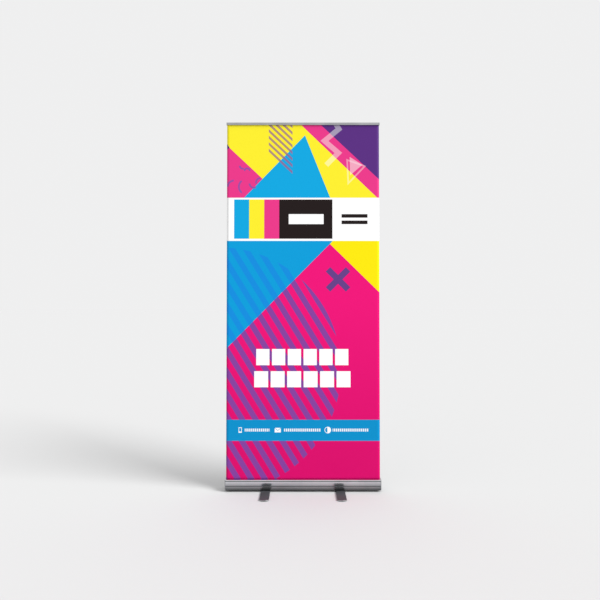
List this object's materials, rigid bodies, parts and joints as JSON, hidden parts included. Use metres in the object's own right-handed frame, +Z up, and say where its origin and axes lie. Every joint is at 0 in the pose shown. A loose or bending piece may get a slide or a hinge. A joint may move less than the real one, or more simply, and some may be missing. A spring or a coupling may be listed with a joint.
{
  "type": "roll-up banner stand",
  "caption": "Free-standing banner stand: a printed film rolls out of a spring-roller base up to a clamp rail on a telescopic pole, steadied by swivel feet.",
  "frame": {"origin": "on the floor, under the middle of the stand", "axes": "+Z up, X along the base and the width of the print, -Y the way the print faces"},
  "size_m": [0.858, 0.383, 2.0461],
  "materials": {
    "anodised_aluminium": "satin anodised extrusion",
    "grey_plastic": "moulded",
    "black_plastic": "moulded",
    "zinc_steel": "zinc plated",
    "spring_steel": "oiled wire",
    "nylon": "moulded",
    "wiper_felt": "dense pile",
    "rubber": "matt",
    "printed_film": "satin laminated print"
  },
  "bodies": {
    "base": {"base_housing": "anodised_aluminium", "end_cap_left": "grey_plastic", "end_cap_right": "grey_plastic", "end_cap_screw_left_front": "zinc_steel", "end_cap_screw_left_rear": "zinc_steel", "end_cap_screw_right_front": "zinc_steel", "end_cap_screw_right_rear": "zinc_steel", "slot_wiper_front": "wiper_felt", "slot_wiper_rear": "wiper_felt", "spring_shaft": "zinc_steel", "torsion_spring": "spring_steel", "pole_bracket": "zinc_steel", "bracket_screw_left": "zinc_steel", "bracket_screw_right": "zinc_steel", "pole_hinge_pin": "zinc_steel", "foot_pivot_bolt_left": "zinc_steel", "foot_pivot_bolt_right": "zinc_steel", "foot_pivot_nut_left": "zinc_steel", "foot_pivot_nut_right": "zinc_steel", "foot_washer_left": "nylon", "foot_washer_right": "nylon", "banner_film": "printed_film"},
    "roller": {"roller_tube": "anodised_aluminium", "roller_plug_left": "nylon", "roller_plug_right": "nylon", "spring_anchor": "nylon", "film_roll": "printed_film"},
    "rail": {"top_rail_back": "anodised_aluminium", "rail_grip_strip": "rubber", "rail_cap_left": "grey_plastic", "rail_cap_right": "grey_plastic"},
    "jaw": {"top_rail_front": "anodised_aluminium"},
    "lower_pole": {"pole_foot": "black_plastic", "pole_lower_tube": "anodised_aluminium"},
    "lower_collar": {"lower_lock_collar": "black_plastic"},
    "middle_pole": {"pole_middle_tube": "anodised_aluminium", "middle_guide_bush": "nylon"},
    "upper_collar": {"upper_lock_collar": "black_plastic"},
    "top_pole": {"pole_top_tube": "anodised_aluminium", "top_guide_bush": "nylon", "pole_hook": "black_plastic"},
    "left_foot": {"foot_left": "anodised_aluminium", "foot_pad_left_front": "rubber", "foot_pad_left_rear": "rubber"},
    "right_foot": {"foot_right": "anodised_aluminium", "foot_pad_right_front": "rubber", "foot_pad_right_rear": "rubber"}
  },
  "joints": [
    {"name": "banner_retract", "type": "slide", "parent": "base", "child": "rail", "axis": [0, 0.0183, 0.9998], "range_m": [-1.962, 0], "deforming": ["banner_film"]},
    {"name": "roller_spin", "type": "hinge", "parent": "base", "child": "roller", "pos_m": [0, 0, 0.0375], "axis": [1, 0, 0], "range_deg": [0, 5960]},
    {"name": "pole_fold", "type": "hinge", "parent": "base", "child": "lower_pole", "pos_m": [0, 0.036, 0.046], "axis": [1, 0, 0], "range_deg": [-90, 0]},
    {"name": "middle_slide", "type": "slide", "parent": "lower_pole", "child": "middle_pole", "axis": [0, 0, 1], "range_m": [-0.55, 0]},
    {"name": "top_slide", "type": "slide", "parent": "middle_pole", "child": "top_pole", "axis": [0, 0, 1], "range_m": [-0.55, 0]},
    {"name": "lower_lock_twist", "type": "hinge", "parent": "lower_pole", "child": "lower_collar", "pos_m": [0, 0.036, 0.7434], "axis": [0, 0, 1], "range_deg": [0, 90]},
    {"name": "upper_lock_twist", "type": "hinge", "parent": "middle_pole", "child": "upper_collar", "pos_m": [0, 0.036, 1.3984], "axis": [0, 0, 1], "range_deg": [0, 90]},
    {"name": "jaw_open", "type": "hinge", "parent": "rail", "child": "jaw", "pos_m": [0, 0.01477, 2.04388], "axis": [-1, 0, 0], "range_deg": [0, 40]},
    {"name": "left_foot_swivel", "type": "hinge", "parent": "base", "child": "left_foot", "pos_m": [-0.2045, 0, 0.0045], "axis": [0, 0, 1], "range_deg": [-90, 0]},
    {"name": "right_foot_swivel", "type": "hinge", "parent": "base", "child": "right_foot", "pos_m": [0.2045, 0, 0.0045], "axis": [0, 0, -1], "range_deg": [-90, 0]}
  ],
  "couplings": [
    {"joint": "roller_spin", "follows": "banner_retract", "rad_per_m": -53},
    {"joint": "pole_fold", "follows": "banner_retract", "rad_per_m": 0.8006},
    {"joint": "middle_slide", "follows": "banner_retract", "ratio": 0.2803},
    {"joint": "top_slide", "follows": "banner_retract", "ratio": 0.2803}
  ]
}
